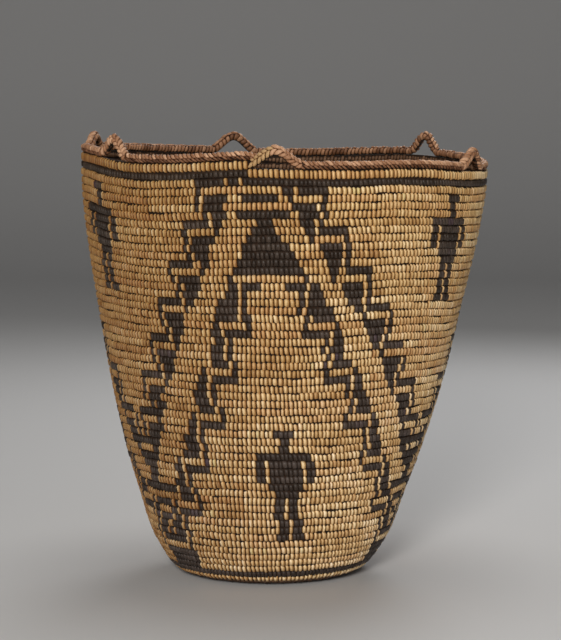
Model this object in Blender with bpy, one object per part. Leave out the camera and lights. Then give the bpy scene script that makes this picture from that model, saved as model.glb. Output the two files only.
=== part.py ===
"""Coiled burden basket: one coil that spirals from the base to the rim, and six loops on the rim.

The basket stands on Z = 0 with the middle of its flat base on the origin. Its front is towards -Y.
Angles are in degrees round the basket, 0 at the front and growing towards +X, which is
counter-clockwise seen from above, and the coil rises that way.
"""
import math

import bmesh
import bpy
from mathutils import Vector

MM = 0.001

# Body
BODY_HEIGHT = 317.5 * MM
MOUTH_RADIUS = 154.3 * MM
BASE_RADIUS = 57.0 * MM

# Outside of the body above the flat base: how far out and how high, from the base to the mouth
OUTLINE_SHARES = (
    (0.000, 0.000),
    (0.105, 0.009),
    (0.176, 0.021),
    (0.256, 0.050),
    (0.366, 0.108),
    (0.461, 0.195),
    (0.582, 0.312),
    (0.727, 0.487),
    (0.841, 0.661),
    (0.933, 0.807),
    (0.986, 0.918),
    (1.000, 1.000),
)
OUTLINE_STEPS = 24

# How the even body has settled: it leans to the right, and its upper rounds sag or rise in places,
# each with its angle, half its spread, how far it rises, and the height share where it begins
LEAN_ANGLE = 2.1
LEFT_SAG = 5.6 * MM
RIGHT_RISE = 2.3 * MM
BACK_RISE = 6.8 * MM
SETTLED_PLACES = (
    (-41.0, 42.0, -LEFT_SAG, 0.55),
    (38.0, 36.0, RIGHT_RISE, 0.30),
    (133.0, 58.0, BACK_RISE, 0.55),
)
SETTLED_HEIGHT_SHARE = 0.35

# Coil, whose rounds are a little higher below its upper ones
WALL_ROUNDS = 55
BASE_ROUNDS = 11
UPPER_ROUNDS = 33
LOW_ROUND_GROWTH_SHARE = 0.024
WALL_THICKNESS = 6.5 * MM
SEAT_GAP = 0.35 * MM
FACE_SHARE = 0.62
COIL_END_ANGLE = -9.6
WALL_ROUNDS_PER_PIECE = 2
BASE_ROUNDS_PER_PIECE = 3
START_RADIUS = 6.4 * MM
WALL_SEGMENTS = 28
FLAT_SEGMENTS = 14

# Rim coil and its loops, named from the front, where the coil ends, and on to the right
RIM_THICKNESS = 7.0 * MM
RIM_FLAT_SHARE = 0.5
RIM_SEGMENT_ANGLE = 12.0
LOOP_SPAN = 38.0 * MM
LOOP_RISE = 13.5 * MM
LOOP_LEAN = 4.0 * MM
LOOP_SEGMENTS = 12
LOOP_START_ANGLES = (COIL_END_ANGLE, 57.6, 125.1, 188.7, 252.0, 298.3)
LOOP_SPAN_SHARES = (1.00, 1.05, 0.86, 1.04, 1.00, 0.96)
LOOP_RISE_SHARES = (0.70, 0.80, 0.97, 0.83, 0.62, 0.81)
LOOP_LEAN_SHARES = (1.00, 0.20, -0.10, 0.10, -0.30, -0.20)
LOOP_NAMES = ("front", "right", "back_right", "back", "back_left", "left")

# Colours
TAN = (0.55, 0.36, 0.16)
ROOT_BROWN = (0.20, 0.10, 0.055)
ROUGHNESS = 0.62
SMOOTH_ANGLE = 30.0


def clear_scene():
    for item in list(bpy.data.objects):
        bpy.data.objects.remove(item, do_unlink=True)


def spline_point(points, index, share):
    """Point on a smooth curve through the points, a share of the way from one to the next."""
    last = len(points) - 1
    before = points[max(index - 1, 0)]
    start = points[index]
    end = points[index + 1]
    after = points[min(index + 2, last)]
    middle = (end - before) * share + (2 * before - 5 * start + 4 * end - after) * share ** 2
    return start + 0.5 * (middle + (3 * start - before - 3 * end + after) * share ** 3)


def body_outline():
    """Outside of the body as (radius, height) points, from the centre of the base to the mouth."""
    flare = MOUTH_RADIUS - BASE_RADIUS
    turned = [Vector((BASE_RADIUS + out * flare, up * BODY_HEIGHT)) for out, up in OUTLINE_SHARES]
    points = [Vector((0.0, 0.0))]
    for index in range(len(turned) - 1):
        for step in range(OUTLINE_STEPS):
            points.append(spline_point(turned, index, step / OUTLINE_STEPS))
    points.append(turned[-1])
    return points


def outline_lengths(points):
    """Distance along the outline from the centre of the base to each of its points."""
    lengths = [0.0]
    for start, end in zip(points, points[1:]):
        lengths.append(lengths[-1] + (end - start).length)
    return lengths


OUTLINE = body_outline()
LENGTHS = outline_lengths(OUTLINE)
WALL_TOP = LENGTHS[-1]
ALL_ROUNDS = WALL_ROUNDS + BASE_ROUNDS
RIM_GAP_ANGLE = math.degrees(SEAT_GAP / MOUTH_RADIUS)


def heights_down(rounds):
    """How many upper rounds' heights a place on the coil lies below the mouth."""
    return rounds + LOW_ROUND_GROWTH_SHARE * max(rounds - UPPER_ROUNDS, 0.0)


ROUND_HEIGHT = (WALL_TOP - START_RADIUS) / heights_down(ALL_ROUNDS + 1.0)


def outline_at(length):
    """Point, direction up the wall and outward direction at a length along the outline."""
    index = 0
    while index < len(LENGTHS) - 2 and LENGTHS[index + 1] <= length:
        index += 1
    along = (OUTLINE[index + 1] - OUTLINE[index]).normalized()
    point = OUTLINE[index] + along * (length - LENGTHS[index])
    outward = Vector((along.y, -along.x))
    return point, along, outward


def settled(point):
    """Where a point of the even body lies on the settled one."""
    slope = math.tan(math.radians(LEAN_ANGLE))
    height_share = point.z / BODY_HEIGHT
    rise = -slope * point.x * height_share
    turn = math.degrees(math.atan2(point.x, -point.y))
    for angle, half_spread, full_rise, start_share in SETTLED_PLACES:
        away = abs((turn - angle + 180.0) % 360.0 - 180.0) / half_spread
        grown = min(max((height_share - start_share) / SETTLED_HEIGHT_SHARE, 0.0), 1.0)
        if away < 1.0:
            across = 0.5 + 0.5 * math.cos(math.pi * away)
            rise += full_rise * across * (0.5 - 0.5 * math.cos(math.pi * grown))
    return Vector((point.x + slope * point.z, point.y, point.z + rise))


def turned_point(angle, radius, height):
    turn = math.radians(angle)
    return Vector((radius * math.sin(turn), -radius * math.cos(turn), height))


def coil_angle(rounds):
    """Angle of a place on the coil, counted in rounds down from where the wall's coil ends."""
    return COIL_END_ANGLE - 360.0 * rounds


def coil_length(rounds):
    """Length along the outline of the lower edge of the coil at a place on it."""
    return WALL_TOP - heights_down(rounds + 1.0) * ROUND_HEIGHT


def coil_section(rounds):
    """Four corners of the coil: full height inside, and a narrower face outside between grooves."""
    low = coil_length(rounds)
    high = coil_length(rounds - 1.0)
    groove = 0.5 * (1.0 - FACE_SHARE) * (high - low)
    corners = []
    for length, depth, shift in (
        (low, WALL_THICKNESS, SEAT_GAP / 2),
        (low + groove, 0.0, 0.0),
        (high - groove, 0.0, 0.0),
        (high, WALL_THICKNESS, -SEAT_GAP / 2),
    ):
        point, along, outward = outline_at(length)
        point = point - outward * depth + along * shift
        corners.append(settled(turned_point(coil_angle(rounds), point.x, point.y)))
    return corners


def swept_mesh(name, sections):
    """One closed body through a row of sections, each a ring of the same number of corners."""
    form = bmesh.new()
    rings = [[form.verts.new(corner) for corner in section] for section in sections]
    corners = len(rings[0])
    for ring, following in zip(rings, rings[1:]):
        for index in range(corners):
            after = (index + 1) % corners
            form.faces.new((ring[index], ring[after], following[after], following[index]))
    form.faces.new(rings[0])
    form.faces.new(rings[-1])
    bmesh.ops.recalc_face_normals(form, faces=form.faces)
    mesh = bpy.data.meshes.new(name)
    form.to_mesh(mesh)
    form.free()
    return mesh


def surface_material(name, colour):
    material = bpy.data.materials.new(name)
    material.use_nodes = True
    shader = material.node_tree.nodes["Principled BSDF"]
    shader.inputs["Base Color"].default_value = (*colour, 1.0)
    shader.inputs["Roughness"].default_value = ROUGHNESS
    shader.inputs["Metallic"].default_value = 0.0
    return material


def add_piece(name, mesh, colour, basket):
    mesh.materials.append(surface_material(name, colour))
    mesh.shade_smooth()
    mesh.set_sharp_from_angle(angle=math.radians(SMOOTH_ANGLE))
    piece = bpy.data.objects.new(name, mesh)
    bpy.context.scene.collection.objects.link(piece)
    piece.parent = basket


def coil_mesh(name, first, last, segments):
    """A stretch of the coil between two places, its lower end clear of the stretch below."""
    end_gap = SEAT_GAP / (2.0 * math.pi * outline_at(coil_length(last))[0].x)
    start = first
    stop = last - end_gap
    count = round((last - first) * segments)
    places = [start + (stop - start) * step / count for step in range(count + 1)]
    places[1:-1] = [first + (last - first) * step / count for step in range(1, count)]
    return swept_mesh(name, [coil_section(place) for place in places])


def build_wall(basket):
    """The top round by itself, then the rest of the wall two rounds at a time."""
    first = 0
    number = 1
    while first < WALL_ROUNDS:
        rounds = 1 if first == 0 else min(WALL_ROUNDS_PER_PIECE, WALL_ROUNDS - first)
        name = f"wall_coil_{number:02d}"
        mesh = coil_mesh(name, first, first + rounds, WALL_SEGMENTS)
        add_piece(name, mesh, TAN, basket)
        first += rounds
        number += 1


def build_base(basket):
    """The rounds that turn in under the wall and lie flat, down to the start of the coil."""
    first = WALL_ROUNDS
    number = 1
    while first < ALL_ROUNDS:
        last = min(first + BASE_ROUNDS_PER_PIECE, ALL_ROUNDS)
        flat = coil_length(first - 1.0) < BASE_RADIUS
        segments = FLAT_SEGMENTS if flat else WALL_SEGMENTS
        name = f"base_coil_{number}"
        add_piece(name, coil_mesh(name, first, last, segments), ROOT_BROWN, basket)
        first = last
        number += 1


def build_start(basket):
    """The button that the coil starts round: its edge follows the inside of the first round."""
    edge = []
    for step in range(FLAT_SEGMENTS + 1):
        place = ALL_ROUNDS - step / FLAT_SEGMENTS
        radius = coil_length(place) - SEAT_GAP
        turn = coil_angle(place)
        if step == FLAT_SEGMENTS:
            turn -= math.degrees(2.0 * SEAT_GAP / radius)
        edge.append((turn, radius))
    sections = [
        [turned_point(turn, radius, height) for turn, radius in edge]
        for height in (0.0, WALL_THICKNESS)
    ]
    add_piece("base_start", swept_mesh("base_start", sections), ROOT_BROWN, basket)


def rim_place(rounds, angle):
    """Middle of the rim coil, the way up and the way out, at a height in rounds and an angle."""
    point, along, outward = outline_at(coil_length(rounds) + ROUND_HEIGHT / 2)
    point = point - outward * (RIM_THICKNESS / 2)
    middle = settled(turned_point(angle, point.x, point.y))
    return middle, turned_point(angle, along.x, along.y), turned_point(angle, outward.x, outward.y)


def rim_section(middle, up, out):
    """Six corners of the rim coil: flat above and below, and pointed inside and outside."""
    half_height = (ROUND_HEIGHT - SEAT_GAP) / 2
    half_depth = RIM_THICKNESS / 2
    half_flat = half_depth * RIM_FLAT_SHARE
    return [
        middle + out * depth + up * height
        for depth, height in (
            (half_depth, 0.0),
            (half_flat, half_height),
            (-half_flat, half_height),
            (-half_depth, 0.0),
            (-half_flat, -half_height),
            (half_flat, -half_height),
        )
    ]


def rim_rounds(angle):
    """Place on the rim coil, which runs on above the wall for one more round, at an angle."""
    return (COIL_END_ANGLE - angle) / 360.0


def loop_feet(number):
    """Angles at which a loop leaves the rim and comes back to it."""
    start = LOOP_START_ANGLES[number] + RIM_GAP_ANGLE
    return start, start + math.degrees(LOOP_SPAN * LOOP_SPAN_SHARES[number] / MOUTH_RADIUS)


def build_loop(basket, number):
    """An arch of the rim coil, lifted off the wall between its two feet."""
    left, right = loop_feet(number)
    start = rim_rounds(left)
    stop = rim_rounds(right)
    frames = []
    for step in range(LOOP_SEGMENTS + 1):
        share = step / LOOP_SEGMENTS
        arch = math.sin(math.pi * share) ** 2
        angle = left + (right - left) * share
        middle, up, out = rim_place(start + (stop - start) * share, angle)
        middle += up * (LOOP_RISE * LOOP_RISE_SHARES[number] * arch)
        middle += out * (LOOP_LEAN * LOOP_LEAN_SHARES[number] * arch)
        frames.append((middle, up, out))
    sections = [rim_section(*frames[0])]
    for before, frame, after in zip(frames, frames[1:], frames[2:]):
        middle, _, out = frame
        run = (after[0] - before[0]).normalized()
        square_out = (out - run * out.dot(run)).normalized()
        sections.append(rim_section(middle, square_out.cross(run), square_out))
    sections.append(rim_section(*frames[-1]))
    name = f"rim_loop_{LOOP_NAMES[number]}"
    add_piece(name, swept_mesh(name, sections), ROOT_BROWN, basket)


def build_rim(basket):
    """The rim coil's stretches between its loops, each clear of the loops' feet."""
    for number in range(len(LOOP_NAMES)):
        build_loop(basket, number)
        following = (number + 1) % len(LOOP_NAMES)
        start = loop_feet(number)[1] + RIM_GAP_ANGLE
        stop = loop_feet(following)[0] - RIM_GAP_ANGLE
        if stop < start:
            stop += 360.0
        count = math.ceil((stop - start) / RIM_SEGMENT_ANGLE)
        angles = [start + (stop - start) * step / count for step in range(count + 1)]
        name = f"rim_coil_{number + 1}"
        sections = [rim_section(*rim_place(rim_rounds(angle), angle)) for angle in angles]
        add_piece(name, swept_mesh(name, sections), ROOT_BROWN, basket)


def build_basket():
    clear_scene()
    basket = bpy.data.objects.new("burden_basket", None)
    bpy.context.scene.collection.objects.link(basket)
    build_wall(basket)
    build_base(basket)
    build_start(basket)
    build_rim(basket)


build_basket()
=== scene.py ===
import math

import bpy
import numpy as np
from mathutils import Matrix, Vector


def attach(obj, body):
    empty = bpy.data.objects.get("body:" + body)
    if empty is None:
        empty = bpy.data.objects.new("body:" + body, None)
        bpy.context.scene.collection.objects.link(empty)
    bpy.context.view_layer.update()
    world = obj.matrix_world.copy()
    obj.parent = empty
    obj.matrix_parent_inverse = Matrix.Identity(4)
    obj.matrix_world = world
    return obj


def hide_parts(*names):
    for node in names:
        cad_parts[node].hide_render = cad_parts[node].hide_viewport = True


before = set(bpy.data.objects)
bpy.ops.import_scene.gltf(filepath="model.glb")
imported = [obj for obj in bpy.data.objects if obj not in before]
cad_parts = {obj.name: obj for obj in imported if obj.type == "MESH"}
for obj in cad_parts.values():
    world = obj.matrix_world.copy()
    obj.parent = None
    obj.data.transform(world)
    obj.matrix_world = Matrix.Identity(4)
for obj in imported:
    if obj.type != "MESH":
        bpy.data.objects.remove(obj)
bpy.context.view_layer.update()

MM = 0.001
QUAD_CORNERS = 4

# Body and coil, as the frame's solids have them
BODY_HEIGHT = 317.5 * MM
MOUTH_RADIUS = 154.3 * MM
BASE_RADIUS = 57.0 * MM
LEAN_ANGLE = 2.1
LEAN_SLOPE = math.tan(math.radians(LEAN_ANGLE))
LEFT_SAG = 5.6 * MM
RIGHT_RISE = 2.3 * MM
BACK_RISE = 6.8 * MM

# Where the mouth has sagged or risen: angle, half its spread, rise, and the height share it starts at
SETTLED_PLACES = (
    (-41.0, 42.0, -LEFT_SAG, 0.55),
    (38.0, 36.0, RIGHT_RISE, 0.30),
    (133.0, 58.0, BACK_RISE, 0.55),
)
SETTLED_HEIGHT_SHARE = 0.35
WALL_THICKNESS = 6.5 * MM
RIM_THICKNESS = 7.0 * MM
COIL_END_ANGLE = -9.6
WALL_ROUNDS = 55
ALL_ROUNDS = 66
START_ROUNDS = 67
WALL_ROUNDS_PER_PIECE = 2
BASE_ROUNDS_PER_PIECE = 3
UPPER_ROUNDS = 33
LOW_ROUND_GROWTH_SHARE = 0.024
START_RADIUS = 6.4 * MM
KNOT_RADIUS = 5.4 * MM
KNOT_STITCHES = 7
OUTLINE_SHARES = (
    (0.000, 0.000),
    (0.105, 0.009),
    (0.176, 0.021),
    (0.256, 0.050),
    (0.366, 0.108),
    (0.461, 0.195),
    (0.582, 0.312),
    (0.727, 0.487),
    (0.841, 0.661),
    (0.933, 0.807),
    (0.986, 0.918),
    (1.000, 1.000),
)
OUTLINE_STEPS = 24
ABOVE_TOP = 40.0 * MM

# Loops of the rim
LOOP_SPAN = 38.0 * MM
LOOP_RISE = 13.5 * MM
LOOP_LEAN = 4.0 * MM
LOOP_START_ANGLES = (COIL_END_ANGLE, 57.6, 125.1, 188.7, 252.0, 298.3)
LOOP_SPAN_SHARES = (1.00, 1.05, 0.86, 1.04, 1.00, 0.96)
LOOP_RISE_SHARES = (0.70, 0.80, 0.97, 0.83, 0.62, 0.81)
LOOP_LEAN_SHARES = (1.00, 0.20, -0.10, 0.10, -0.30, -0.20)
LOOP_NAMES = ("front", "right", "back_right", "back", "back_left", "left")

# Stitches
TOP_STITCH_WIDTH = 3.51 * MM
LOW_STITCH_WIDTH = 3.30 * MM
WIDE_STITCH_ROWS = 30
ROOT_STITCH_WIDTH = 3.0 * MM
BRAID_PITCH = 3.3 * MM
LOOP_PITCH = 3.7 * MM
BRAID_OVERLAP_ANGLE = 0.5
RIM_END_ANGLE = 2.6
RIM_END_DIP = 1.6 * MM
RIM_END_DIP_ANGLE = 7.0
TAN_START_STITCHES = 5
DRIFT_STITCHES = 6
DRIFT_SHARE = 0.45
WIDTH_JITTER_SHARE = 0.09
DEPTH_JITTER_SHARE = 0.45
LEAN_SPREAD_SHARE = 0.14
LEAN_JITTER_SHARE = 0.7
WIDTH_SPREAD_SHARE = 0.6
WIDTH_SPREAD_LIMIT_SHARE = 0.12
HEIGHT_JITTER = 1.5 * MM
CROWN_POWER = 2.4
END_POWER = 4
LEAST_ROOT_STITCHES = 8
STRIP_STITCHES = 14
TONE_STRIP_SHARE = 0.5
HUE_STRIP_SHARE = 0.7
ROOT_STRIP_SHARE = 0.4
STRIPS_END_SHARE = 0.5
NOT_DARK = (0, 1, 1)
PATH_SAMPLES = 160
SEED = 7

# Unevenness of the hand work. The waves of the whole body have a number of waves round it, a climb,
# a phase and a share each. A round's own waves have numbers between two limits.
WAVE_HEIGHT = 0.45 * MM
WAVE_DEPTH = 0.55 * MM
RISE_WAVES = ((3, 9.0, 0.0, 0.5), (7, -17.0, 1.3, 0.5))
SWELL_WAVES = ((2, 7.0, 0.6, 0.6), (5, -13.0, 0.0, 0.4))
ROW_WAVE_HEIGHT = 0.16 * MM
ROW_WAVES = (5, 23)
ROW_WAVE_COUNT = 3
STEADY_HEIGHT = 12.0 * MM

# Camera
FOCAL_PIXELS = 2250.0
IMAGE_HEIGHT = 640.0
SENSOR = 36.0
CAMERA_DISTANCE = 1.716
CAMERA_HEIGHT = 0.3515
CAMERA_SIDE = 0.0086
CAMERA_PITCH = 5.28
FARTHEST_SEEN = 60.0

# Stage: depth and height of the floor as it curves up behind the basket
STAGE_PROFILE = (
    (-25.0, 0.0), (3.0, 0.0), (3.4, 0.06), (3.7, 0.22), (3.9, 0.5), (4.0, 0.9), (4.0, 3.0),
)
STAGE_HALF_WIDTH = 25.0
STAGE_GREY = (0.62, 0.61, 0.60)
STAGE_ROUGHNESS = 0.7

# Lamps: name, place, size across, power and colour
LAMPS = (
    ("key", (-0.40, -3.0, 1.1), 0.7, 64.0, (1.0, 0.98, 0.95)),
    ("fill", (1.0, -1.5, 0.6), 1.2, 1.5, (0.95, 0.97, 1.0)),
    ("top", (0.1, 0.2, 1.9), 1.0, 9.0, (1.0, 0.99, 0.97)),
    ("back", (0.4, 1.3, 1.0), 0.8, 6.0, (0.97, 0.98, 1.0)),
)
LAMP_AIM = (0.0, 0.0, 0.18)
WORLD_COLOUR = (0.85, 0.87, 0.90)
WORLD_STRENGTH = 0.10

# Surfaces. A roughness is a share of the streaks and what is added to it. The light, middle and
# deep browns of root are those of the splints inside and of the rim's braid.
WHITE = (1.0, 1.0, 1.0)
RED_TAN = (0.56, 0.29, 0.13)
TAN_STRAND = (0.62, 0.40, 0.19)
INSIDE_BROWNS = ((0.27, 0.150, 0.082), (0.17, 0.088, 0.045), (0.09, 0.041, 0.019))
RIM_BROWNS = ((0.75, 0.45, 0.27), (0.41, 0.20, 0.10), (0.10, 0.034, 0.010))
RED_SHARE = 0.55
RED_POWER = 3
STREAK_SHARE = 0.8
STREAK_DETAIL = 3.0
STREAK_SEED_SPREAD = 40.0
PATCH_DETAIL = 4.0
STRIP_PATCH_SHARE = 0.45
ROOT_PATCH_SHARE = 0.7
SHARES_PER_METRE = 3.0
STRIP_ROUGHNESS = (0.30, 0.34)
ROOT_ROUGHNESS = (0.25, 0.42)
BUNDLE_ROUGHNESS = (0.1, 0.75)
SPECULAR = 0.30
BUMP_STRENGTH = 0.6
FIBRE_RELIEF = 0.15 * MM
BUNDLE_RELIEF = 0.2 * MM

# A piece's materials by number. The wall and base have strips, root and the bundle, and the rim
# has root first.
FIRST_SLOT, ROOT_SLOT, BUNDLE_SLOT = 0, 1, 2


def spline_point(points, index, share):
    """Point on a smooth curve through the points, a share of the way from one to the next."""
    last = len(points) - 1
    before = points[max(index - 1, 0)]
    start = points[index]
    end = points[index + 1]
    after = points[min(index + 2, last)]
    middle = (end - before) * share + (2 * before - 5 * start + 4 * end - after) * share ** 2
    return start + 0.5 * (middle + (3 * start - before - 3 * end + after) * share ** 3)


def body_outline():
    """Outside of the body as (radius, height) points, from the middle of the base to the mouth."""
    flare = MOUTH_RADIUS - BASE_RADIUS
    turned = [
        np.array((BASE_RADIUS + out * flare, up * BODY_HEIGHT)) for out, up in OUTLINE_SHARES
    ]
    points = [np.zeros(2)]
    for index in range(len(turned) - 1):
        for step in range(OUTLINE_STEPS):
            points.append(spline_point(turned, index, step / OUTLINE_STEPS))
    points.append(turned[-1])
    return np.array(points)


# The outline by its length from the middle of the base, carried on straight past the mouth
BODY_OUTLINE = body_outline()
STEPS = np.diff(BODY_OUTLINE, axis=0)
STEP_LENGTHS = np.linalg.norm(STEPS, axis=1)
BODY_LENGTHS = np.concatenate(([0.0], np.cumsum(STEP_LENGTHS)))
WALL_TOP = BODY_LENGTHS[-1]
LAST_ALONG = STEPS[-1] / STEP_LENGTHS[-1]
OUTLINE = np.vstack((BODY_OUTLINE, BODY_OUTLINE[-1] + LAST_ALONG * ABOVE_TOP))
LENGTHS = np.append(BODY_LENGTHS, WALL_TOP + ABOVE_TOP)
STEP_SLOPES = np.arctan2(STEPS[:, 1], STEPS[:, 0])
SLOPE_LENGTHS = np.append((BODY_LENGTHS[:-1] + BODY_LENGTHS[1:]) / 2, WALL_TOP)
SLOPES = np.append(STEP_SLOPES, STEP_SLOPES[-1])


def heights_down(rounds):
    """How many upper rounds' heights a place on the coil lies below the mouth."""
    return rounds + LOW_ROUND_GROWTH_SHARE * np.maximum(rounds - UPPER_ROUNDS, 0.0)


ROUND_HEIGHT = (WALL_TOP - START_RADIUS) / heights_down(START_ROUNDS)


def outline_at(length):
    """Radius, height and slope of the outside at lengths along the outline."""
    radius = np.interp(length, LENGTHS, OUTLINE[:, 0])
    height = np.interp(length, LENGTHS, OUTLINE[:, 1])
    slope = np.interp(length, SLOPE_LENGTHS, SLOPES)
    return radius, height, slope


def waves(table, turn, level):
    """The sum of waves that run round the body and climb it."""
    return sum(
        share * np.sin(count * turn + climb * level + phase) for count, climb, phase, share in table
    )


def settled(points):
    """Where points of the even body lie on the settled one, with the small waves of hand work."""
    x, y, z = points[..., 0], points[..., 1], points[..., 2]
    turn = np.arctan2(x, -y)
    fade = np.clip(z / STEADY_HEIGHT - 0.5, 0.0, 1.0)
    level = z / BODY_HEIGHT
    radius = np.maximum(np.hypot(x, y), MM)
    scale = 1.0 + WAVE_DEPTH * waves(SWELL_WAVES, turn, level) * fade / radius
    high = z + WAVE_HEIGHT * waves(RISE_WAVES, turn, level) * fade - LEAN_SLOPE * x * level
    for angle, half_spread, full_rise, start_share in SETTLED_PLACES:
        away = np.abs((np.degrees(turn) - angle + 180.0) % 360.0 - 180.0) / half_spread
        across = 0.5 + 0.5 * np.cos(np.pi * np.minimum(away, 1.0))
        grown = np.clip((level - start_share) / SETTLED_HEIGHT_SHARE, 0.0, 1.0)
        high = high + full_rise * across * (0.5 - 0.5 * np.cos(np.pi * grown))
    return np.stack((x * scale + LEAN_SLOPE * z, y * scale, np.maximum(high, 0.0)), axis=-1)


def coil_point(rounds, angle, out, up):
    """Places on the coil, out from and up from the middle of its section."""
    length = WALL_TOP - heights_down(rounds + 0.5) * ROUND_HEIGHT + up
    radius, height, slope = outline_at(length)
    depth = out - WALL_THICKNESS / 2
    radius = radius + np.sin(slope) * depth
    height = height - np.cos(slope) * depth
    turn = np.radians(angle)
    return np.stack((radius * np.sin(turn), -radius * np.cos(turn), height), axis=-1)


def coil_place(rounds, out, up):
    """Places on the coil by rounds down from its end alone."""
    return coil_point(rounds, COIL_END_ANGLE - 360.0 * rounds, out, up)


def knot_place(turns, out, up):
    """Places on the knot that the coil starts from, which fills the middle of the base."""
    radius = np.maximum(KNOT_RADIUS / 2 + up, 0.0)
    turn = 2 * np.pi * turns
    height = WALL_THICKNESS / 2 - out
    return np.stack((radius * np.sin(turn), -radius * np.cos(turn), height), axis=-1)


def uneven_place(rng):
    """A place function for one round that strays up and down on its own, but not at its ends."""
    counts = rng.integers(*ROW_WAVES, ROW_WAVE_COUNT)
    phases = rng.uniform(0.0, 2 * math.pi, ROW_WAVE_COUNT)

    def place(rounds, out, up):
        share = rounds % 1.0
        fade = np.clip(np.minimum(share, 1.0 - share) * ROW_WAVES[1], 0.0, 1.0)
        turns = 2 * np.pi * share[..., None] * counts + phases
        rise = ROW_WAVE_HEIGHT * fade * np.sum(np.sin(turns), axis=-1)
        return coil_place(rounds, out, up + rise)

    return place


def round_radius(course):
    """Outside radius half way up a round, counted from 1 at the top of the wall."""
    return float(outline_at(WALL_TOP - heights_down(course) * ROUND_HEIGHT)[0])


def stitch_count(course):
    """Imbricated stitches in one round of the wall."""
    narrowing = max(0.0, 1.0 - course / WIDE_STITCH_ROWS)
    width = LOW_STITCH_WIDTH + (TOP_STITCH_WIDTH - LOW_STITCH_WIDTH) * narrowing
    return round(2 * math.pi * round_radius(course) / width)


# The pattern. Courses count rounds down from the rim, levels count rows down from the dark band right
# of the coil's end, and steps count rows down from under that band. Stitches are counted from the
# middle of one of three repeats, or from the valley between two of them. Spans name a first and a
# last dark stitch from a diagonal's stem.
TOP_TAN_COURSE = 1
TOP_DARK_COURSE = 2
REPEAT_ANGLE = 120.0
CENTRE_ANGLE = -7.0
CENTRE_DRIFT = 0.34
OUTER_STEMS = (16.4, 22.2, 29.1, 36.2, 43.1, 51.1, 57.9)
OUTER_ROWS = 5
OUTER_BAR = 5
OUTER_BLOCK_EDGE = 8
BLOCK_START = 2
TOP_MARK = (7, 8)
TOP_LEFT_MARK = 10
INNER_STEMS = (8.0, 15.0, 22.2, 30.2, 38.7, 48.7, 60.0)
INNER_TOP = 13
INNER_ROWS = 6
INNER_BAR = 5
FIRST_INNER_SPANS = ((2, 3), (2, 4), (2, 5), (2, 6), (2, 6), (7, 7))
INNER_SPANS = ((2, 3), (2, 3), (2, 4), (2, 4), (2, 5), (7, 7))
CAP_BARS = {2: 3, 4: 5}
CAP_TRIANGLE_TOP = 5
CAP_TRIANGLE_LAST = 11
VALLEY_WIDTHS = {34: 3, 36: 3, 37: 2, 38: 1, 39: 1}
VALLEY_LINES = (40, 42, 44, 46, 48)
BOTTOM_BAND = 52
BOTTOM_PATCH_LEVELS = (50, 51)
BOTTOM_PATCH_ANGLE = 10.0

# The dark stitches of a standing figure, row by row from its head down, as spans across. The
# low figure's head stands a stitch to the left, and its feet a stitch to the right.
HEAD, NECK = ((-1, 2),), ((0, 1),)
LOW_HEAD, LOW_NECK = ((-2, 1),), ((-1, 0),)
ARMS_AND_BODY = ((-6, -5), (-3, 3), (5, 6))
WAIST, HIPS = ((-3, 3),), ((-2, 2),)
BODY = (((-6, 5),), ARMS_AND_BODY, ARMS_AND_BODY, ARMS_AND_BODY, WAIST, HIPS)
LEGS, FEET = ((-2, -1), (1, 2)), ((-3, -1), (1, 3))
LOW_LEGS, LOW_FEET = ((-1, 0), (2, 3)), ((-2, 0), (2, 4))
LOW_FIGURE = (
    LOW_HEAD, LOW_NECK, LOW_NECK, *BODY, LEGS, LEGS, LEGS, LOW_LEGS, LOW_LEGS, LOW_FEET,
)
HIGH_FIGURE = (HEAD, NECK, NECK, *BODY, LEGS, LEGS, LEGS, LEGS, FEET)
LOW_FIGURE_LEVEL = 32
HIGH_FIGURE_COURSE = 4
FIGURE_SHIFT_SHARE = 0.45

# The upper left figure stands some stitches to the right, and one less after each few rows
LEFT_FIGURE_STITCHES = 3
LEFT_FIGURE_ROWS = 5


def figure_dark(figure, row, stitches):
    """Whether a figure's row is dark at a number of stitches from its middle."""
    across = round(stitches + FIGURE_SHIFT_SHARE)
    return 0 <= row < len(figure) and any(low <= across <= high for low, high in figure[row])


def outer_dark(step, side, pitch, left_half):
    """The stepped diagonal that runs down and away from the middle of a repeat."""
    from_first = round(OUTER_STEMS[0] / pitch) - side
    if step == 0 and (from_first in TOP_MARK or left_half and from_first >= TOP_LEFT_MARK):
        return True
    if step == 1 and from_first == TOP_MARK[0] and not left_half:
        return True
    unit, row = divmod(step, OUTER_ROWS)
    for stem, place in ((unit, row), (unit - 1, row + OUTER_ROWS)):
        if not 0 <= stem < len(OUTER_STEMS):
            continue
        inward = round(OUTER_STEMS[stem] / pitch) - side
        on_stem = place < OUTER_ROWS and inward == 0
        in_bar = place == 0 and 0 < inward <= OUTER_BAR
        in_block = place >= BLOCK_START and BLOCK_START <= inward <= OUTER_BLOCK_EDGE - place
        if on_stem or in_bar or in_block:
            return True
    return False


def inner_dark(level, side, pitch):
    """The stepped diagonal inside it, whose bars lie level on both sides."""
    if level == INNER_TOP - 1:
        return side == round(INNER_STEMS[0] / pitch) + BLOCK_START
    unit, row = divmod(level - INNER_TOP, INNER_ROWS)
    if not 0 <= unit < len(INNER_STEMS):
        return False
    outward = side - round(INNER_STEMS[unit] / pitch)
    bar = side if unit == 0 else INNER_BAR
    first, last = (FIRST_INNER_SPANS if unit == 0 else INNER_SPANS)[row]
    return outward == 0 or (row == 0 and -bar <= outward < 0) or first <= outward <= last


def valley_dark(level, middle, side, pitch):
    """The inverted triangle and the level lines between two repeats."""
    if middle <= VALLEY_WIDTHS.get(level, -1):
        return True
    if level in VALLEY_LINES:
        unit, row = divmod(level - INNER_TOP, INNER_ROWS)
        outward = side - round(INNER_STEMS[unit] / pitch)
        return outward > INNER_SPANS[row][1] + 1
    return False


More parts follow.
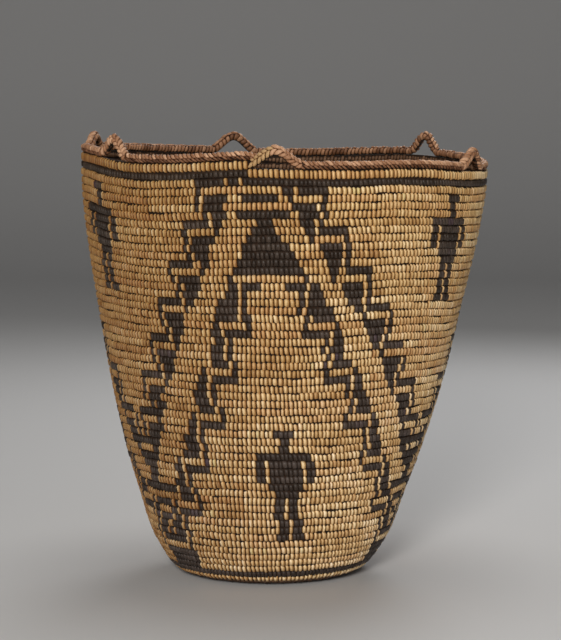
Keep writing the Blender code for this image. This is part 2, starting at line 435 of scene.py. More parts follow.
def is_dark(course, angle):
    """Whether the stitch at an angle of a round is charcoal and not tan."""
    if course == TOP_TAN_COURSE:
        return False
    if course == TOP_DARK_COURSE:
        return True
    back = CENTRE_ANGLE + CENTRE_DRIFT * course + 180.0
    left_half = (angle - COIL_END_ANGLE) % 360.0 > back - COIL_END_ANGLE
    step = course - TOP_DARK_COURSE - 1
    level = step if left_half else step + 1
    if level >= BOTTOM_BAND:
        return level == BOTTOM_BAND
    pitch = 360.0 / stitch_count(course)
    centre = CENTRE_ANGLE + CENTRE_DRIFT * level
    offset = (angle - centre + REPEAT_ANGLE / 2) % REPEAT_ANGLE - REPEAT_ANGLE / 2
    side = abs(round(offset / pitch))
    from_valley = (angle - centre) % REPEAT_ANGLE - REPEAT_ANGLE / 2
    if level in CAP_BARS and side <= CAP_BARS[level]:
        return True
    if CAP_TRIANGLE_TOP <= level <= CAP_TRIANGLE_LAST and side <= level - CAP_TRIANGLE_TOP + 1:
        return True
    if outer_dark(step, side, pitch, left_half) or inner_dark(level, side, pitch):
        return True
    if valley_dark(level, abs(round(from_valley / pitch)), side, pitch):
        return True
    if level in BOTTOM_PATCH_LEVELS and abs(from_valley) < BOTTOM_PATCH_ANGLE:
        return True
    if figure_dark(LOW_FIGURE, level - LOW_FIGURE_LEVEL, offset / pitch):
        return True
    row = course - HIGH_FIGURE_COURSE
    shift = LEFT_FIGURE_STITCHES - row // LEFT_FIGURE_ROWS
    in_left_valley = -REPEAT_ANGLE < angle - centre < 0.0
    return figure_dark(HIGH_FIGURE, row, from_valley / pitch - (shift if in_left_valley else 0))


def unit_grid(across, along):
    """Corners of one stitch in its own two directions, its front faces, and its back face."""
    a, b = np.meshgrid(across, along)
    wide, high = len(across), len(along)
    index = np.arange(wide * high).reshape(high, wide)
    quads = np.stack((index[:-1, :-1], index[:-1, 1:], index[1:, 1:], index[1:, :-1]), axis=-1)
    quads = quads.reshape(-1, QUAD_CORNERS)
    edge = np.concatenate((index[0, :-1], index[:-1, -1], index[-1, :0:-1], index[:0:-1, 0]))
    return a.ravel(), b.ravel(), quads, edge[::-1]


FINE_GRID = unit_grid((-1.0, -0.74, -0.3, 0.3, 0.74, 1.0), (-1.0, -0.8, -0.3, 0.3, 0.8, 1.0))
PLAIN_GRID = unit_grid((-1.0, -0.6, 0.6, 1.0), (-1.0, -0.6, 0.0, 0.6, 1.0))

# How each kind of stitch sits on the coil's section: the angles that it covers, from the outer side
# up, its half sizes, lift and squareness, the depth of the grooves beside it and past its ends, its
# lean, the share of a stitch's width that it fills, how far it laps over, and how uneven it is
IMBRICATED = {
    "grid": FINE_GRID, "low": -84.0, "high": 84.0, "half_out": 3.75 * MM, "half_up": 3.2 * MM,
    "lift": 0.0, "square": 0.66, "side_groove": 0.37, "end_groove": 0.12, "lean": 0.30,
    "fill": 1.0, "lap": 0.05, "jitter": 0.08,
}
IMBRICATED_TOP = dict(IMBRICATED, half_up=3.55 * MM, lift=-0.35 * MM)
IMBRICATED_SECOND = dict(IMBRICATED, half_up=2.65 * MM, lift=-0.30 * MM)
ROOT_INSIDE = {
    "grid": PLAIN_GRID, "low": 98.0, "high": 262.0, "half_out": 3.3 * MM, "half_up": 2.9 * MM,
    "lift": 0.0, "square": 0.80, "side_groove": 0.20, "end_groove": 0.10, "lean": -0.22,
    "fill": 0.97, "lap": 0.0, "jitter": 0.10,
}
ROOT_OUTSIDE = dict(ROOT_INSIDE, low=-82.0, high=82.0, lean=0.22)
KNOT_INSIDE = dict(ROOT_INSIDE, half_up=KNOT_RADIUS / 2)
KNOT_OUTSIDE = dict(ROOT_OUTSIDE, half_up=KNOT_RADIUS / 2)
BRAID_TOP = {
    "grid": FINE_GRID, "low": -6.0, "high": 118.0, "half_out": 4.3 * MM, "half_up": 3.6 * MM,
    "lift": 0.2 * MM, "square": 0.95, "side_groove": 0.42, "end_groove": 0.30, "lean": 1.45,
    "fill": 1.08, "lap": 0.03, "jitter": 0.10,
}
BRAID_SIDE = {
    "grid": FINE_GRID, "low": -84.0, "high": 10.0, "half_out": 3.7 * MM, "half_up": 3.0 * MM,
    "lift": 0.1 * MM, "square": 0.95, "side_groove": 0.40, "end_groove": 0.22, "lean": 1.2,
    "fill": 0.84, "lap": 0.02, "jitter": 0.12,
}
BRAID_INSIDE = {
    "grid": FINE_GRID, "low": 112.0, "high": 262.0, "half_out": 3.7 * MM, "half_up": 3.1 * MM,
    "lift": 0.2 * MM, "square": 0.95, "side_groove": 0.34, "end_groove": 0.16, "lean": -0.45,
    "fill": 0.97, "lap": 0.0, "jitter": 0.12,
}
LOOP_TOP = dict(BRAID_TOP, low=18.0, high=128.0, half_up=4.1 * MM, lean=1.0, lift=0.3 * MM)
LOOP_OUTSIDE = dict(BRAID_SIDE, low=-78.0, high=40.0, half_out=4.3 * MM, half_up=3.3 * MM,
                    end_groove=0.30, lean=-0.9, fill=1.04)
LOOP_INSIDE = dict(BRAID_INSIDE, low=120.0, high=290.0)
TOP_KINDS = {TOP_TAN_COURSE: IMBRICATED_TOP, TOP_DARK_COURSE: IMBRICATED_SECOND}

# The strands of the rim's braid: each kind, its shift in stitches, and its least and greatest tone
# Light tones on the strands over the top are painted light, and dark tones on those down the outside
# are painted shade
RIM_STRANDS = (
    (BRAID_SIDE, 0.0, 0.0, 0.35),
    (BRAID_TOP, 0.5, 0.35, 1.0),
    (BRAID_INSIDE, 0.25, 0.1, 0.7),
)
LOOP_STRANDS = (
    (LOOP_OUTSIDE, 0.0, 0.3, 1.0),
    (LOOP_TOP, 0.5, 0.5, 1.0),
    (LOOP_INSIDE, 0.25, 0.1, 0.7),
)


def stitch_edges(rng, count):
    """Edges of stitches of uneven width, which stray a little from their even places."""
    index = np.arange(count + 1)
    knots = np.arange(0, count + DRIFT_STITCHES, DRIFT_STITCHES)
    drift = np.interp(index, knots, rng.uniform(-DRIFT_SHARE, DRIFT_SHARE, len(knots)))
    stray = drift + rng.normal(0.0, WIDTH_JITTER_SHARE, count + 1)
    at_end = np.minimum(index, count - index) / DRIFT_STITCHES
    return index + stray * np.minimum(at_end, 1.0)


def sew(place, centres, pitches, run, kind, rng):
    """Pillows of one kind at centres along a path, as points: one row of corners a stitch."""
    a, b, _, _ = kind["grid"]
    count = len(centres)
    pitch = np.broadcast_to(pitches, count)[:, None]
    jitter = rng.normal(0.0, kind["jitter"], (count, 3))
    widening = np.clip(jitter[:, :1], -WIDTH_SPREAD_LIMIT_SHARE, WIDTH_SPREAD_LIMIT_SHARE)
    half_width = 0.5 * kind["fill"] * (1.0 + WIDTH_SPREAD_SHARE * widening)
    lean = kind["lean"] + LEAN_JITTER_SHARE * jitter[:, 1:2]
    along = centres[:, None] + run * pitch * (a * half_width - lean * b * 0.5)
    turn = np.radians(kind["low"] + (kind["high"] - kind["low"]) * (b + 1) / 2)
    crown = np.sqrt(np.maximum(1.0 - np.abs(a) ** CROWN_POWER, 0.0))
    ends = 1.0 - np.abs(b) ** END_POWER
    size = 1.0 - kind["side_groove"] * (1.0 - crown) - kind["end_groove"] * (1.0 - ends)
    size = size + kind["lap"] * a * ends
    size = size[None, :] + jitter[:, 2:3] * DEPTH_JITTER_SHARE
    cosine, sine = np.cos(turn), np.sin(turn)
    out = kind["half_out"] * np.sign(cosine) * np.abs(cosine) ** kind["square"] * size
    up = kind["half_up"] * np.sign(sine) * np.abs(sine) ** kind["square"] * np.minimum(size, 1.0)
    return place(along, out, up + kind["lift"] + jitter[:, :1] * HEIGHT_JITTER)


def tube(place, start, stop, count, half_out, half_up, square):
    """The bundle inside the stitches, closed at both ends."""
    along = np.linspace(start, stop, count + 1)[:, None]
    turn = np.linspace(0.0, 2 * np.pi, BUNDLE_SIDES, endpoint=False)[None, :]
    cosine, sine = np.cos(turn), np.sin(turn)
    out = half_out * np.sign(cosine) * np.abs(cosine) ** square
    up = half_up * np.sign(sine) * np.abs(sine) ** square
    points = place(along + 0 * turn, out + 0 * along, up + 0 * along)
    ring = np.arange(BUNDLE_SIDES)
    beside = (ring + 1) % BUNDLE_SIDES
    rows = np.arange(count)[:, None] * BUNDLE_SIDES
    further = rows + BUNDLE_SIDES
    quads = np.stack((rows + ring, further + ring, further + beside, rows + beside), axis=-1)
    quads = quads.reshape(-1, QUAD_CORNERS)
    caps = (ring, (count * BUNDLE_SIDES + ring)[::-1])
    return points.reshape(-1, 3), quads, caps


# Half sizes and squareness of the bundle: nearly square in the wall, so that rounds touch
WALL_BUNDLE = (2.5 * MM, 3.02 * MM, 0.5)
BRAID_BUNDLE = (2.2 * MM, 2.8 * MM, 0.8)
BUNDLE_STEPS = 72
BUNDLE_SIDES = 12
BUNDLE_TINT = (0.0, 0.3, 0.5)

# The layout for baking: a cell for each stitch, and a strip above them for the bundle
CELL_HEIGHT_SHARE = 2.2
CELL_MARGIN_SHARE = 0.06
CORE_STRIP_SHARE = 0.03
CORE_RIPPLE_SHARE = 0.0005
CORE_RIPPLES = 7


class Piece:
    """Points, faces and marks of one piece, gathered stitch by stitch and made into a mesh."""

    def __init__(self):
        self.points, self.tints, self.marks = [], [], []
        self.faces, self.cells = [], []
        self.total = 0

    def add_stitches(self, points, kind, tints, slot):
        """Adds pillows in one of the piece's materials."""
        a, b, quads, edge = kind["grid"]
        count, corners = points.shape[0], points.shape[1]
        base = self.total + np.arange(count)[:, None] * corners
        mark = np.stack(((a + 1) / 2, (b + 1) / 2), axis=-1)
        self.points.append(points.reshape(-1, 3))
        self.tints.append(np.repeat(tints, corners, axis=0))
        self.marks.append(np.tile(mark, (count, 1)))
        for number in range(count):
            self.cells.append((base[number, 0], corners))
        self.faces.append((base[:, None, :1] + quads[None], QUAD_CORNERS, slot))
        self.faces.append((base + edge[None], len(edge), slot))
        self.total += count * corners

    def add_tube(self, points, quads, caps):
        """Adds the bundle."""
        self.points.append(points)
        self.tints.append(np.tile(BUNDLE_TINT, (len(points), 1)))
        self.marks.append(np.full((len(points), 2), 0.5))
        self.faces.append((self.total + quads, QUAD_CORNERS, BUNDLE_SLOT))
        for cap in caps:
            self.faces.append((self.total + cap[None], len(cap), BUNDLE_SLOT))
        self.total += len(points)

    def bake_map(self, marks):
        """A place for each stitch of its own in the square, with the bundle in a strip above."""
        count = max(len(self.cells), 1)
        columns = math.ceil(math.sqrt(count * CELL_HEIGHT_SHARE))
        rows = math.ceil(count / columns)
        places = np.zeros_like(marks)
        cell = np.array((1.0 / columns, (1.0 - CORE_STRIP_SHARE) / rows))
        for number, (first, corners) in enumerate(self.cells):
            row, column = divmod(number, columns)
            own = marks[first:first + corners] * (1 - 2 * CELL_MARGIN_SHARE) + CELL_MARGIN_SHARE
            places[first:first + corners] = (np.array((column, row)) + own) * cell
        return places

    def mesh(self, name, materials):
        """The piece as one mesh, with its tones, its stitches' marks and its layout for baking."""
        points = settled(np.concatenate(self.points))
        marks = np.concatenate(self.marks)
        tints = np.concatenate(self.tints)
        flat, sizes, slots = [], [], []
        for faces, size, slot in self.faces:
            rows = faces.reshape(-1, size)
            flat.append(rows.ravel())
            sizes.append(np.full(len(rows), size))
            slots.append(np.full(len(rows), slot))
        flat, sizes, slots = np.concatenate(flat), np.concatenate(sizes), np.concatenate(slots)
        starts = np.concatenate(([0], np.cumsum(sizes)[:-1]))
        mesh = bpy.data.meshes.new(name)
        mesh.vertices.add(len(points))
        mesh.vertices.foreach_set("co", points.ravel())
        mesh.loops.add(len(flat))
        mesh.loops.foreach_set("vertex_index", flat.astype(np.int32))
        mesh.polygons.add(len(sizes))
        mesh.polygons.foreach_set("loop_start", starts.astype(np.int32))
        mesh.polygons.foreach_set("material_index", slots.astype(np.int32))
        mesh.polygons.foreach_set("use_smooth", np.ones(len(sizes), dtype=bool))
        mesh.update(calc_edges=True)
        tint = mesh.color_attributes.new("tint", "FLOAT_COLOR", "POINT")
        tint.data.foreach_set("color", np.hstack((tints, np.ones((len(tints), 1)))).ravel())
        own = mesh.uv_layers.new(name="StitchUV")
        own.data.foreach_set("uv", marks[flat].ravel())
        bake = mesh.uv_layers.new(name="OFBake")
        places = self.bake_map(marks)[flat]
        hidden = np.repeat((sizes > QUAD_CORNERS) | (slots == BUNDLE_SLOT), sizes)
        spread = np.arange(len(flat)) / len(flat)
        ripple = CORE_RIPPLE_SHARE * np.sin(CORE_RIPPLES * spread)
        in_strip = np.stack((spread, 1.0 - CORE_STRIP_SHARE / 2 + ripple), axis=-1)
        places[hidden] = in_strip[hidden]
        bake.data.foreach_set("uv", places.ravel())
        mesh.uv_layers.active = own
        for material in materials:
            mesh.materials.append(material)
        mesh.validate()
        return mesh


def add_object(name, mesh, nodes):
    """Adds a mesh in place of the solids it stands for."""
    item = bpy.data.objects.new(name, mesh)
    bpy.context.scene.collection.objects.link(item)
    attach(item, "root")
    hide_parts(*nodes)


def new_material(name):
    """A material and its node tree."""
    material = bpy.data.materials.new(name)
    material.use_nodes = True
    return material, material.node_tree


def add_node(tree, kind, **settings):
    node = tree.nodes.new(kind)
    for key, value in settings.items():
        setattr(node, key, value)
    return node


def maths(tree, operation, *values):
    """A sum of numbers or sockets. All inputs that the operation reads are given."""
    node = add_node(tree, "ShaderNodeMath", operation=operation)
    for socket, value in zip(node.inputs, values):
        if isinstance(value, bpy.types.NodeSocket):
            tree.links.new(value, socket)
        else:
            socket.default_value = value
    return node.outputs[0]


def blend(tree, share, first, second, mode="MIX"):
    """Two colours mixed. The node's sockets for colours are 6 and 7, and 2 gives the result."""
    node = add_node(tree, "ShaderNodeMix", data_type="RGBA", blend_type=mode)
    inputs = (node.inputs[0], node.inputs[6], node.inputs[7])
    for socket, value in zip(inputs, (share, first, second)):
        if isinstance(value, bpy.types.NodeSocket):
            tree.links.new(value, socket)
        elif isinstance(value, tuple):
            socket.default_value = (*value, 1.0)
        else:
            socket.default_value = value
    return node.outputs[2]


def ramp(tree, share, stops):
    """A colour read from stops of place and colour."""
    node = add_node(tree, "ShaderNodeValToRGB")
    tree.links.new(share, node.inputs[0])
    elements = node.color_ramp.elements
    while len(elements) < len(stops):
        elements.new(0.5)
    for element, (position, colour) in zip(elements, stops):
        element.position = position
        element.color = (*colour, 1.0)
    return node.outputs[0]


def stitch_marks(tree):
    """A stitch's own marks: its dark flag, its two random shares, and its place across and up."""
    tint = add_node(tree, "ShaderNodeAttribute", attribute_name="tint")
    split = add_node(tree, "ShaderNodeSeparateColor")
    tree.links.new(tint.outputs["Color"], split.inputs[0])
    own = add_node(tree, "ShaderNodeUVMap", uv_map="StitchUV")
    place = add_node(tree, "ShaderNodeSeparateXYZ")
    tree.links.new(own.outputs[0], place.inputs[0])
    return split.outputs[0], split.outputs[1], split.outputs[2], place.outputs[0], place.outputs[1]


def fibre(tree, across, along, seed, streaks_across, streaks_along):
    """Streaks that run the length of a strip, unlike those of the next one."""
    join = add_node(tree, "ShaderNodeCombineXYZ")
    tree.links.new(maths(tree, "MULTIPLY", across, streaks_across), join.inputs[0])
    tree.links.new(maths(tree, "MULTIPLY", along, streaks_along), join.inputs[1])
    tree.links.new(maths(tree, "MULTIPLY", seed, STREAK_SEED_SPREAD), join.inputs[2])
    noise = add_node(tree, "ShaderNodeTexNoise", noise_dimensions="3D")
    noise.inputs["Scale"].default_value = 1.0
    noise.inputs["Detail"].default_value = STREAK_DETAIL
    tree.links.new(join.outputs[0], noise.inputs["Vector"])
    return noise.outputs["Fac"]


def groove_mask(tree, across, along, power):
    """One in the middle of a stitch, falling to zero at its edges."""
    result = None
    for place in (across, along):
        centred = maths(tree, "ABSOLUTE", maths(tree, "MULTIPLY_ADD", place, 2.0, -1.0))
        fall = maths(tree, "SUBTRACT", 1.0, maths(tree, "POWER", centred, power))
        result = fall if result is None else maths(tree, "MULTIPLY", result, fall)
    return result


def finish(tree, colour, rough, height, depth):
    """Joins a colour, a roughness and a small relief to the material's shader."""
    shader = tree.nodes["Principled BSDF"]
    tree.links.new(colour, shader.inputs["Base Color"])
    tree.links.new(rough, shader.inputs["Roughness"])
    shader.inputs["Specular IOR Level"].default_value = SPECULAR
    bump = add_node(tree, "ShaderNodeBump")
    bump.inputs["Strength"].default_value = BUMP_STRENGTH
    bump.inputs["Distance"].default_value = depth
    tree.links.new(height, bump.inputs["Height"])
    tree.links.new(bump.outputs[0], shader.inputs["Normal"])


def worn_patches(tree, scale):
    """Slow blotches of age and handling over the whole basket."""
    where = add_node(tree, "ShaderNodeTexCoord")
    noise = add_node(tree, "ShaderNodeTexNoise", noise_dimensions="3D")
    noise.inputs["Scale"].default_value = scale
    noise.inputs["Detail"].default_value = PATCH_DETAIL
    tree.links.new(where.outputs["Object"], noise.inputs["Vector"])
    return noise.outputs["Fac"]


def object_place(tree):
    """Where a point of the surface is, as three numbers."""
    where = add_node(tree, "ShaderNodeTexCoord")
    split = add_node(tree, "ShaderNodeSeparateXYZ")
    tree.links.new(where.outputs["Object"], split.inputs[0])
    return split.outputs


def strip_material():
    """Folded tan and charcoal strips on the outside of the wall, with painted highlights and painted
    shade.
    """
    material, tree = new_material("imbrication_strips")
    dark, tone, hue, across, along = stitch_marks(tree)
    streak = fibre(tree, across, along, tone, streaks_across=9.0, streaks_along=1.6)
    tan = ramp(tree, tone, (
        (0.00, (0.33, 0.185, 0.070)),
        (0.12, (0.48, 0.295, 0.120)),
        (0.40, (0.63, 0.430, 0.205)),
        (0.75, (0.75, 0.560, 0.310)),
        (0.93, (0.86, 0.690, 0.450)),
        (1.00, (0.60, 0.480, 0.210)),
    ))
    tan = blend(tree, maths(tree, "MULTIPLY", hue, RED_SHARE), tan, RED_TAN)
    # Painted highlight and painted shade across each strip: dark in the side grooves, a bright band
    # left of the middle, darker towards the right side
    painted_highlight_and_shade_across = ramp(tree, across, (
        (0.00, (0.22, 0.105, 0.035)),
        (0.12, (0.76, 0.62, 0.44)),
        (0.32, (1.34, 1.40, 1.50)),
        (0.54, (1.04, 0.99, 0.89)),
        (0.82, (0.60, 0.45, 0.28)),
        (1.00, (0.22, 0.105, 0.035)),
    ))
    tan = blend(tree, 1.0, tan, painted_highlight_and_shade_across, "MULTIPLY")
    # Painted highlight and painted shade along each strip: dark at both ends where the rows meet, and
    # a bright band near its top end
    ends = ramp(tree, along, (
        (0.00, (0.25, 0.12, 0.04)),
        (0.14, (0.80, 0.68, 0.52)),
        (0.55, WHITE),
        (0.82, (1.18, 1.22, 1.28)),
        (1.00, (0.34, 0.18, 0.07)),
    ))
    tan = blend(tree, 1.0, tan, ends, "MULTIPLY")
    charcoal = ramp(tree, tone, (
        (0.00, (0.026, 0.016, 0.010)),
        (0.50, (0.052, 0.036, 0.027)),
        (0.90, (0.090, 0.066, 0.053)),
        (1.00, (0.066, 0.040, 0.054)),
    ))
    # Painted shade on the charcoal strips: darker towards each stitch's edges, in the grooves
    mask = groove_mask(tree, across, along, power=6.0)
    charcoal_groove_shade = ramp(tree, mask, ((0.00, (0.50, 0.42, 0.34)), (0.50, WHITE)))
    charcoal = blend(tree, 1.0, charcoal, charcoal_groove_shade, "MULTIPLY")
    colour = blend(tree, dark, tan, charcoal)
    streaked = ramp(tree, streak, (
        (0.28, (0.52, 0.44, 0.36)),
        (0.50, (1.00, 0.98, 0.95)),
        (0.75, (1.22, 1.22, 1.22)),
    ))
    colour = blend(tree, STREAK_SHARE, colour, streaked, "MULTIPLY")
    blotches = worn_patches(tree, scale=14.0)
    patches = ramp(tree, blotches, ((0.35, (0.80, 0.72, 0.62)), (0.60, WHITE)))
    colour = blend(tree, STRIP_PATCH_SHARE, colour, patches, "MULTIPLY")
    # Painted shade: the strips grow darker and browner towards the left side
    x, _, z = object_place(tree)
    side = maths(tree, "MULTIPLY_ADD", x, SHARES_PER_METRE, 0.5)
    painted_left_side_shade = ramp(tree, side, ((0.00, (0.80, 0.76, 0.69)), (0.45, WHITE)))
    colour = blend(tree, 1.0, colour, painted_left_side_shade, "MULTIPLY")
    # Painted light and shade by height: lighter and creamier low on the wall, darker and browner high
    # up
    painted_height_light = ramp(tree, maths(tree, "MULTIPLY", z, SHARES_PER_METRE), (
        (0.10, (1.03, 1.06, 1.14)),
        (0.90, (0.97, 0.95, 0.88)),
    ))
    colour = blend(tree, 1.0, colour, painted_height_light, "MULTIPLY")
    rough = maths(tree, "MULTIPLY_ADD", streak, *STRIP_ROUGHNESS)
    finish(tree, colour, rough, streak, FIBRE_RELIEF)
    return material


def root_material(name, light, middle, deep):
    """Split root, brown and streaked along the splint."""
    material, tree = new_material(name)
    tan, tone, hue, across, along = stitch_marks(tree)
    streak = fibre(tree, across, along, hue, streaks_across=7.0, streaks_along=1.4)
    colour = ramp(tree, tone, ((0.00, deep), (0.50, middle), (1.00, light)))
    colour = blend(tree, tan, colour, TAN_STRAND)
    streaked = ramp(tree, streak, ((0.30, (0.60, 0.55, 0.50)), (0.60, (1.05, 1.05, 1.05))))
    colour = blend(tree, STREAK_SHARE, colour, streaked, "MULTIPLY")
    blotches = worn_patches(tree, scale=22.0)
    patches = ramp(tree, blotches, ((0.35, (0.72, 0.66, 0.60)), (0.62, WHITE)))
    colour = blend(tree, ROOT_PATCH_SHARE, colour, patches, "MULTIPLY")
    # Painted shade in the grooves between stitches: darker towards each stitch's edges
    mask = groove_mask(tree, across, along, power=4.0)
    root_groove_shade = ramp(tree, mask, ((0.00, (0.26, 0.14, 0.07)), (0.75, WHITE)))
    colour = blend(tree, 1.0, colour, root_groove_shade, "MULTIPLY")
    rough = maths(tree, "MULTIPLY_ADD", streak, *ROOT_ROUGHNESS)
    finish(tree, colour, rough, streak, FIBRE_RELIEF)
    return material


def bundle_material():
    """The bundle of splints, seen only between stitches, coloured near black as painted shade in the
    gaps.
    """
    material, tree = new_material("bundle")
    splints = worn_patches(tree, scale=300.0)
    # Painted shade: the near black bundle makes the gaps between stitches read dark
    colour = ramp(tree, splints, ((0.35, (0.010, 0.005, 0.002)), (0.65, (0.034, 0.014, 0.005))))
    rough = maths(tree, "MULTIPLY_ADD", worn_patches(tree, scale=200.0), *BUNDLE_ROUGHNESS)
    finish(tree, colour, rough, splints, BUNDLE_RELIEF)
    return material


def tones(rng, count, low=0.0, high=1.0, strip_share=0.0):
    """Random shares for stitches, partly shared by neighbours from one strip."""
    own = rng.random(count)
    strip = np.repeat(rng.random(count // STRIP_STITCHES + 2), STRIP_STITCHES)[:count]
    return low + (high - low) * ((1.0 - strip_share) * own + strip_share * strip)


def add_course(piece, course, rng):
    """One round of the wall or base: strips or root outside, and root inside."""
    count = stitch_count(course)
    even = (np.arange(count) + 0.5) / count
    edges = stitch_edges(rng, count) / count
    centres = course - (edges[:-1] + edges[1:]) / 2
    widths = np.diff(edges)
    angles = (COIL_END_ANGLE + 360.0 * even + 180.0) % 360.0 - 180.0
    strips = np.full(count, course <= WALL_ROUNDS)
    if course == WALL_ROUNDS + 1:
        strips = even > STRIPS_END_SHARE
    dark = np.array([float(is_dark(course, angle)) for angle in angles])
    tone = tones(rng, count, strip_share=TONE_STRIP_SHARE)
    hue = tones(rng, count, strip_share=HUE_STRIP_SHARE) ** RED_POWER
    tints = np.stack((dark, tone, hue), axis=-1)
    place = uneven_place(rng)
    if strips.any():
        kind = TOP_KINDS.get(course, IMBRICATED)
        kind = dict(kind, lean=kind["lean"] + rng.normal(0.0, LEAN_SPREAD_SHARE))
        points = sew(place, centres[strips], widths[strips], -1.0, kind, rng)
        piece.add_stitches(points, kind, tints[strips], FIRST_SLOT)
    if not strips.all():
        points = sew(place, centres[~strips], widths[~strips], -1.0, ROOT_OUTSIDE, rng)
        piece.add_stitches(points, ROOT_OUTSIDE, tints[~strips] * NOT_DARK, ROOT_SLOT)
    inner_length = 2 * math.pi * (round_radius(course) - WALL_THICKNESS)
    inner = max(LEAST_ROOT_STITCHES, round(inner_length / ROOT_STITCH_WIDTH))
    centres = course - (np.arange(inner) + 0.5) / inner
    tone = tones(rng, inner, strip_share=ROOT_STRIP_SHARE)
    tints = np.stack((np.zeros(inner), tone, tones(rng, inner)), axis=-1)
    points = sew(place, centres, 1.0 / inner, -1.0, ROOT_INSIDE, rng)
    piece.add_stitches(points, ROOT_INSIDE, tints, ROOT_SLOT)


def add_knot(piece, rng):
    """The knot in the middle of the base, wrapped over both of its faces."""
    centres = (np.arange(KNOT_STITCHES) + 0.5) / KNOT_STITCHES
    for kind in (KNOT_OUTSIDE, KNOT_INSIDE):
        tone, hue = rng.random(KNOT_STITCHES), rng.random(KNOT_STITCHES)
        tints = np.stack((np.zeros(KNOT_STITCHES), tone, hue), axis=-1)
        points = sew(knot_place, centres, 1.0 / KNOT_STITCHES, 1.0, kind, rng)
        piece.add_stitches(points, kind, tints, ROOT_SLOT)


def add_coil_piece(name, node, first, last, materials, rng):
    """A stretch of the coil between two rounds, in place of its solid."""
    piece = Piece()
    for course in range(first + 1, last + 1):
        add_course(piece, course, rng)
    if last == START_ROUNDS:
        add_knot(piece, rng)
    steps = BUNDLE_STEPS * (last - first)
    piece.add_tube(*tube(coil_place, last, first, steps, *WALL_BUNDLE))
    add_object(name, piece.mesh(name, materials), [node])


def rim_rounds(angle):
    """Rounds down the coil at an angle past its end, on the rim above it."""
    return (COIL_END_ANGLE - angle) / 360.0


def loop_feet(number):
    """Angles at which a loop leaves the rim and comes back to it."""
    start = LOOP_START_ANGLES[number]
    return start, start + math.degrees(LOOP_SPAN * LOOP_SPAN_SHARES[number] / MOUTH_RADIUS)


def path_place(middles, ups, outs):
    """Turns frames along a path into a place function, and gives the path's length."""
    steps = np.linalg.norm(np.diff(middles, axis=0), axis=1)
    distance = np.concatenate(([0.0], np.cumsum(steps)))

    def read(table, where):
        return np.stack([np.interp(where, distance, table[:, i]) for i in range(3)], axis=-1)

    def place(where, out, up):
        offset = read(outs, where) * out[..., None] + read(ups, where) * up[..., None]
        return read(middles, where) + offset

    return place, distance[-1]


def rim_frames(angles, rounds, rise, lean):
    """Middle of the rim coil with its up and out directions, lifted and leaned where it loops."""
    middle = coil_point(rounds, angles, (WALL_THICKNESS - RIM_THICKNESS) / 2, 0.0)
    turn = np.radians(angles)
    out = np.stack((np.sin(turn), -np.cos(turn), 0.0 * turn), axis=-1)
    middle = middle + out * lean[:, None]
    middle[:, 2] += rise
    run = np.gradient(middle, axis=0)
    run /= np.linalg.norm(run, axis=1)[:, None]
    out = out - run * np.sum(out * run, axis=1)[:, None]
    out /= np.linalg.norm(out, axis=1)[:, None]
    return middle, np.cross(out, run), out


def add_braid(piece, place, length, pitch, strands, rng, tan_stitches=0):
    """The false braid: strands over the top, strands down the outside, and wraps inside."""
    count = round(length / pitch)
    even_pitch = length / count
    for kind, shift, low, high in strands:
        centres = (np.arange(count) + 0.5 + shift) * even_pitch
        centres = centres[centres < length]
        tan = np.arange(len(centres)) < tan_stitches
        tone = tones(rng, len(centres), low, high)
        tints = np.stack((tan, tone, rng.random(len(centres))), axis=-1)
        points = sew(place, centres, even_pitch, 1.0, kind, rng)
        piece.add_stitches(points, kind, tints, FIRST_SLOT)
    piece.add_tube(*tube(place, 0.0, length, count, *BRAID_BUNDLE))


def build_rim(materials, rng):
    """The rim's lying stretches, the last one sewn down on the front loop, and the loops."""
    for number in range(len(LOOP_NAMES)):
        following = (number + 1) % len(LOOP_NAMES)
        start = loop_feet(number)[1] - BRAID_OVERLAP_ANGLE
        stop = loop_feet(following)[0] + BRAID_OVERLAP_ANGLE
        if stop < start:
            stop += 360.0 + RIM_END_ANGLE
        angles = np.linspace(start, stop, PATH_SAMPLES)
        low = np.zeros(PATH_SAMPLES)
        if following == 0:
            near_end = np.clip(1.0 - (stop - angles) / RIM_END_DIP_ANGLE, 0.0, 1.0)
            low = -RIM_END_DIP * near_end ** 2
        place, length = path_place(*rim_frames(angles, rim_rounds(angles), low, 0.0 * low))
        piece = Piece()
        add_braid(piece, place, length, BRAID_PITCH, RIM_STRANDS, rng)
        name = f"rim_braid_{number + 1}"
        add_object(name, piece.mesh(name, materials), [f"rim_coil_{number + 1}"])
        add_loop(number, materials, rng)


def add_loop(number, materials, rng):
    """One loop: the rim coil lifted off the wall in a small arch."""
    left, right = loop_feet(number)
    angles = np.linspace(left, right, PATH_SAMPLES)
    arch = np.sin(np.pi * np.linspace(0.0, 1.0, PATH_SAMPLES)) ** 2
    rise = LOOP_RISE * LOOP_RISE_SHARES[number] * arch
    lean = LOOP_LEAN * LOOP_LEAN_SHARES[number] * arch
    place, length = path_place(*rim_frames(angles, rim_rounds(angles), rise, lean))
    piece = Piece()
    tan_stitches = TAN_START_STITCHES if number == 0 else 0
    add_braid(piece, place, length, LOOP_PITCH, LOOP_STRANDS, rng, tan_stitches)
    name = f"loop_braid_{LOOP_NAMES[number]}"
    nodes = [f"rim_loop_{LOOP_NAMES[number]}"]
    add_object(name, piece.mesh(name, materials), nodes)


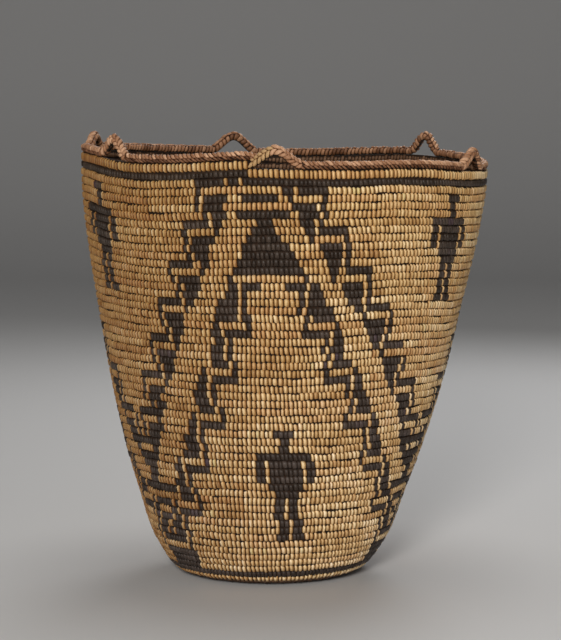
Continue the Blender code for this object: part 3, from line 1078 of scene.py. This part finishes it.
def build_basket():
    """The wall from its top down, whose first piece is a single round, the base and the rim."""
    rng = np.random.default_rng(SEED)
    strips = strip_material()
    root = root_material("root_inside", *INSIDE_BROWNS)
    rim = root_material("rim_root", *RIM_BROWNS)
    bundle = bundle_material()
    materials = (strips, root, bundle)
    ends = [0, *range(1, WALL_ROUNDS, WALL_ROUNDS_PER_PIECE), WALL_ROUNDS]
    for number, (first, last) in enumerate(zip(ends, ends[1:]), 1):
        add_coil_piece(f"wall_round_{number:02d}", f"wall_coil_{number:02d}", first, last,
                       materials, rng)
    ends = [*range(WALL_ROUNDS, ALL_ROUNDS, BASE_ROUNDS_PER_PIECE), ALL_ROUNDS]
    for number, (first, last) in enumerate(zip(ends, ends[1:]), 1):
        add_coil_piece(f"base_round_{number}", f"base_coil_{number}", first, last,
                       materials, rng)
    add_coil_piece("start_round", "base_start", ALL_ROUNDS, START_ROUNDS,
                   materials, rng)
    build_rim((rim, rim, bundle), rng)


def plain_material(name, colour, roughness):
    material, tree = new_material(name)
    shader = tree.nodes["Principled BSDF"]
    shader.inputs["Base Color"].default_value = (*colour, 1.0)
    shader.inputs["Roughness"].default_value = roughness
    return material


def build_stage():
    """A pale floor that curves up behind the basket."""
    points = []
    for y, z in STAGE_PROFILE:
        points += [(-STAGE_HALF_WIDTH, y, z), (STAGE_HALF_WIDTH, y, z)]
    faces = [(2 * i, 2 * i + 1, 2 * i + 3, 2 * i + 2) for i in range(len(STAGE_PROFILE) - 1)]
    mesh = bpy.data.meshes.new("floor")
    mesh.from_pydata(points, [], faces)
    mesh.shade_smooth()
    mesh.materials.append(plain_material("floor", STAGE_GREY, STAGE_ROUGHNESS))
    floor = bpy.data.objects.new("floor", mesh)
    bpy.context.scene.collection.objects.link(floor)


def add_area(name, place, size, power, colour):
    light = bpy.data.lights.new(name, "AREA")
    light.shape = "DISK"
    light.size = size
    light.energy = power
    light.color = colour
    item = bpy.data.objects.new(name, light)
    item.location = place
    item.rotation_euler = (Vector(LAMP_AIM) - Vector(place)).to_track_quat("-Z", "Y").to_euler()
    bpy.context.scene.collection.objects.link(item)


def build_light():
    """The soft lamps, and a faint even light from all round."""
    for lamp in LAMPS:
        add_area(*lamp)
    world = bpy.data.worlds.new("studio")
    bpy.context.scene.world = world
    world.use_nodes = True
    background = world.node_tree.nodes["Background"]
    background.inputs[0].default_value = (*WORLD_COLOUR, 1.0)
    background.inputs[1].default_value = WORLD_STRENGTH
    bpy.context.scene.view_settings.view_transform = "Standard"


def build_camera():
    """The photograph's view: from the front, a little above the mouth and tipped down."""
    camera = bpy.data.cameras.new("camera")
    camera.sensor_width = SENSOR
    camera.lens = FOCAL_PIXELS / IMAGE_HEIGHT * SENSOR
    camera.clip_end = FARTHEST_SEEN
    item = bpy.data.objects.new("camera", camera)
    item.location = (CAMERA_SIDE, -CAMERA_DISTANCE, CAMERA_HEIGHT)
    item.rotation_euler = (math.radians(90.0 - CAMERA_PITCH), 0.0, 0.0)
    bpy.context.scene.collection.objects.link(item)
    bpy.context.scene.camera = item


build_camera()
build_basket()
build_stage()
build_light()
